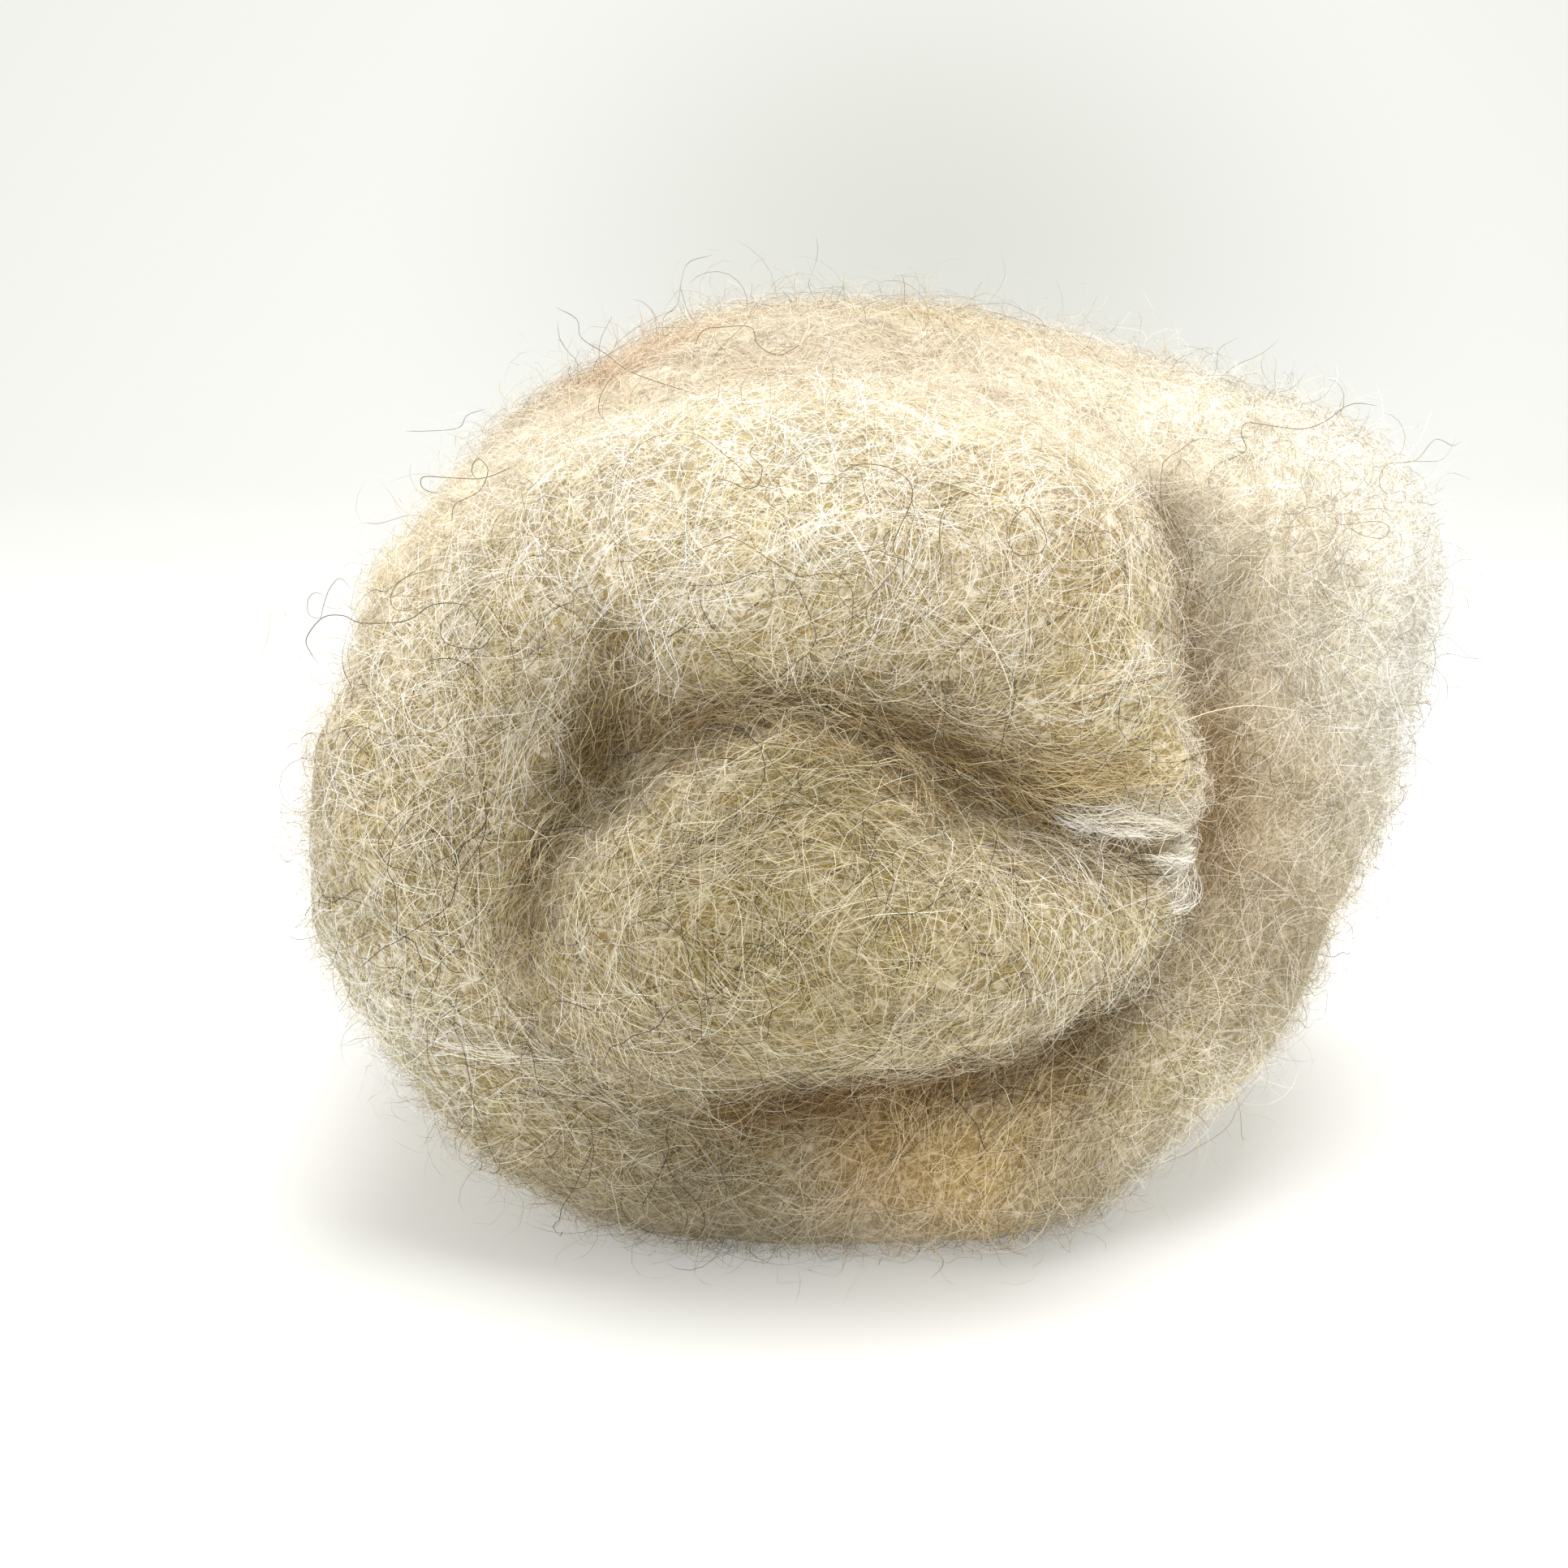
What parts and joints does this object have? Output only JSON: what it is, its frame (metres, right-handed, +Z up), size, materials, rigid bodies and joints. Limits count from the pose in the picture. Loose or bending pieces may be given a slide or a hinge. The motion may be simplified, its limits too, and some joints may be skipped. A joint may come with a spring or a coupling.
{
  "type": "rolled wool fiber batt",
  "caption": "Carded wool fiber batt, rolled up loosely: a lofty sheet wound into a soft, lumpy roll that lies on its side.",
  "frame": {"origin": "on the surface that the roll rests on, under the middle of its bounding box", "axes": "+X to the right across the rolled end, +Y along the roll's axis to the back, +Z up; the inner end of the roll faces -Y"},
  "size_m": [0.1726, 0.1404, 0.1329],
  "materials": {
    "carded_wool": "matte, undyed carded wool in cream and oatmeal with darker crimped hairs"
  },
  "bodies": {
    "root": {"rolled_batt": "carded_wool"}
  },
  "joints": []
}
